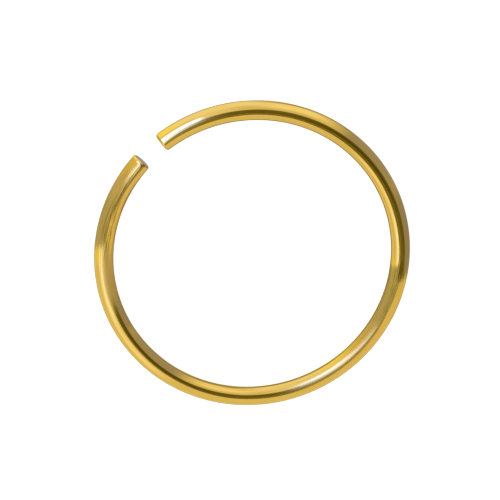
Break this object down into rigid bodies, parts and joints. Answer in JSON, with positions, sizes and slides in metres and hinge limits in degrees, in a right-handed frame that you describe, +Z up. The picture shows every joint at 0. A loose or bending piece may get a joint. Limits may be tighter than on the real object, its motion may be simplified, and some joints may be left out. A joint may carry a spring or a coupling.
{
  "type": "nose ring",
  "caption": "Plain open hoop of round polished gold wire, cut square at both ends with the cut edges softly rounded, worn through a piercing of the nostril.",
  "frame": {"origin": "on the axis of the ring, at the level of the surface that the hoop lies on", "axes": "+Z up along the axis of the ring, +Y from the middle of the ring to the gap between the ends of the wire, +X across the ring"},
  "size_m": [0.01, 0.01, 0.0006],
  "materials": {
    "gold": "polished"
  },
  "bodies": {
    "root": {"hoop": "gold"}
  },
  "joints": []
}
